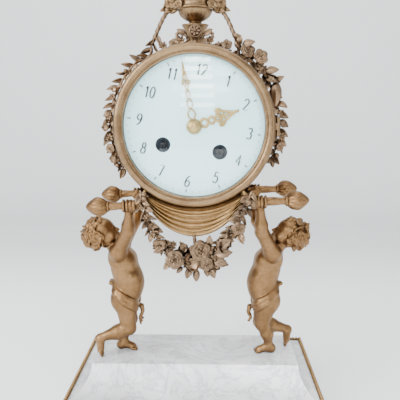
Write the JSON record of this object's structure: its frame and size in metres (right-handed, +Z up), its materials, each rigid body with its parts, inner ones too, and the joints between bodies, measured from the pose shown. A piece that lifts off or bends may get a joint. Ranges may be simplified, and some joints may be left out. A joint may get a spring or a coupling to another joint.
{
  "type": "mantel clock",
  "caption": "Mantel clock: round glazed drum on a litter held up by child figures, with garlands, cast drapery and a flower urn, over a flared marble base with a bead edge.",
  "frame": {"origin": "centre of the base on the plane the feet stand on", "axes": "+Z up, the dial faces -Y, +X to the viewer's right"},
  "size_m": [0.178, 0.113, 0.3364],
  "materials": {
    "gilt_bronze": "satin worn gilding",
    "gilt_hands": "polished gilding",
    "clock_brass": "lacquered",
    "bell_metal": "satin",
    "steel": "polished",
    "marble": "honed marble",
    "enamel": "fired enamel",
    "glass": "polished"
  },
  "bodies": {
    "base": {"marble_base": "marble", "base_bead_border": "gilt_bronze", "bun_feet": "gilt_bronze", "base_nuts": "steel", "putto_left": "gilt_bronze", "putto_right": "gilt_bronze", "litter_pole_front": "gilt_bronze", "litter_pole_rear": "gilt_bronze", "pole_buds_front": "gilt_bronze", "pole_buds_rear": "gilt_bronze", "drapery_cradle": "gilt_bronze", "garland_lower": "gilt_bronze", "urn_pedestal": "gilt_bronze", "urn": "gilt_bronze", "urn_bouquet": "gilt_bronze", "urn_rod": "steel", "top_garland": "gilt_bronze", "garland_left": "gilt_bronze", "garland_right": "gilt_bronze", "drum_case": "gilt_bronze", "case_bolt": "gilt_bronze", "front_ring": "gilt_bronze", "rear_ring": "gilt_bronze", "hinge_pins": "steel", "movement_straps": "clock_brass", "strap_screws": "steel", "dial": "enamel", "front_plate": "clock_brass", "front_studs": "steel", "back_plate": "clock_brass", "plate_pillars": "clock_brass", "pendulum_cock": "clock_brass", "bell": "bell_metal", "bell_stand": "clock_brass", "hammer_stud": "steel"},
    "front_door": {"front_bezel": "gilt_bronze", "front_glass": "glass"},
    "back_door": {"rear_door": "gilt_bronze"},
    "minute_body": {"centre_arbor": "steel", "centre_wheel": "clock_brass", "minute_hand": "gilt_hands", "hand_nut": "gilt_hands"},
    "hour_body": {"hour_wheel": "clock_brass", "hour_hand": "gilt_hands"},
    "minute_wheel_body": {"minute_wheel": "clock_brass"},
    "intermediate_body": {"intermediate_wheel": "clock_brass"},
    "going_barrel_body": {"going_barrel": "clock_brass"},
    "third_body": {"third_wheel": "clock_brass"},
    "escape_body": {"escape_wheel": "clock_brass"},
    "going_winder": {"going_winding_arbor": "steel"},
    "strike_winder": {"strike_winding_arbor": "steel"},
    "strike_barrel_body": {"strike_barrel": "clock_brass"},
    "pin_body": {"pin_wheel": "clock_brass"},
    "locking_body": {"locking_wheel": "clock_brass"},
    "fly_body": {"fly": "steel"},
    "going_click_body": {"going_click": "steel"},
    "strike_click_body": {"strike_click": "steel"},
    "pendulum_body": {"pendulum": "clock_brass", "pallet_anchor": "steel"},
    "hammer_body": {"hammer": "steel"}
  },
  "joints": [
    {"name": "minute_turn", "type": "hinge", "parent": "base", "child": "minute_body", "pos_m": [0, 0, 0.214], "axis": [0, 1, 0], "continuous": true},
    {"name": "hour_turn", "type": "hinge", "parent": "base", "child": "hour_body", "pos_m": [0, 0, 0.214], "axis": [0, 1, 0], "continuous": true},
    {"name": "minute_wheel_turn", "type": "hinge", "parent": "base", "child": "minute_wheel_body", "pos_m": [-0.00137, 0, 0.20329], "axis": [0, 1, 0], "continuous": true},
    {"name": "intermediate_turn", "type": "hinge", "parent": "base", "child": "intermediate_body", "pos_m": [0.01347, 0, 0.21781], "axis": [0, 1, 0], "continuous": true},
    {"name": "going_barrel_turn", "type": "hinge", "parent": "base", "child": "going_barrel_body", "pos_m": [0.01699, 0, 0.1971], "axis": [0, 1, 0], "continuous": true},
    {"name": "third_turn", "type": "hinge", "parent": "base", "child": "third_body", "pos_m": [-0.00183, 0, 0.22788], "axis": [0, 1, 0], "continuous": true},
    {"name": "escape_turn", "type": "hinge", "parent": "base", "child": "escape_body", "pos_m": [0.00308, 0, 0.238], "axis": [0, 1, 0], "continuous": true},
    {"name": "strike_barrel_turn", "type": "hinge", "parent": "base", "child": "strike_barrel_body", "pos_m": [-0.0207, 0, 0.20193], "axis": [0, 1, 0], "continuous": true},
    {"name": "pin_turn", "type": "hinge", "parent": "base", "child": "pin_body", "pos_m": [-0.01623, 0, 0.22245], "axis": [0, 1, 0], "continuous": true},
    {"name": "locking_turn", "type": "hinge", "parent": "base", "child": "locking_body", "pos_m": [-0.01689, 0, 0.23644], "axis": [0, 1, 0], "continuous": true},
    {"name": "fly_turn", "type": "hinge", "parent": "base", "child": "fly_body", "pos_m": [-0.02685, 0, 0.23121], "axis": [0, 1, 0], "continuous": true},
    {"name": "going_wind", "type": "hinge", "parent": "base", "child": "going_winder", "pos_m": [0.01699, 0, 0.1971], "axis": [0, 1, 0], "continuous": true},
    {"name": "strike_wind", "type": "hinge", "parent": "base", "child": "strike_winder", "pos_m": [-0.0207, 0, 0.20193], "axis": [0, 1, 0], "continuous": true},
    {"name": "front_door_swing", "type": "hinge", "parent": "base", "child": "front_door", "pos_m": [0.0546, -0.0308, 0.214], "axis": [0, 0, 1], "range_deg": [0, 110]},
    {"name": "back_door_swing", "type": "hinge", "parent": "base", "child": "back_door", "pos_m": [0.0546, 0.0308, 0.214], "axis": [0, 0, -1], "range_deg": [0, 110]},
    {"name": "going_click_lift", "type": "hinge", "parent": "base", "child": "going_click_body", "pos_m": [0.0263, 0, 0.20448], "axis": [0, -1, 0], "range_deg": [0, 12], "stiffness_Nm_per_rad": 0.001, "springref_deg": -5.73},
    {"name": "strike_click_lift", "type": "hinge", "parent": "base", "child": "strike_click_body", "pos_m": [-0.02808, 0, 0.21124], "axis": [0, -1, 0], "range_deg": [0, 12], "stiffness_Nm_per_rad": 0.001, "springref_deg": -5.73},
    {"name": "pendulum_swing", "type": "hinge", "parent": "base", "child": "pendulum_body", "pos_m": [0.00445, 0, 0.24872], "axis": [0, 1, 0], "range_deg": [-3, 3]},
    {"name": "hammer_lift", "type": "hinge", "parent": "base", "child": "hammer_body", "pos_m": [0.0275, 0.0164, 0.19], "axis": [0, 1, 0], "range_deg": [0, 10], "stiffness_Nm_per_rad": 0.005, "springref_deg": -11.46}
  ],
  "couplings": [
    {"joint": "hour_turn", "follows": "minute_turn", "ratio": 0.083333},
    {"joint": "minute_wheel_turn", "follows": "minute_turn", "ratio": -0.33333},
    {"joint": "intermediate_turn", "follows": "minute_turn", "ratio": -0.16667},
    {"joint": "going_barrel_turn", "follows": "minute_turn", "ratio": 0.027778},
    {"joint": "third_turn", "follows": "minute_turn", "ratio": -6},
    {"joint": "escape_turn", "follows": "minute_turn", "ratio": 31.5},
    {"joint": "pin_turn", "follows": "strike_barrel_turn", "ratio": -6},
    {"joint": "locking_turn", "follows": "strike_barrel_turn", "ratio": 36},
    {"joint": "fly_turn", "follows": "strike_barrel_turn", "ratio": -189}
  ]
}
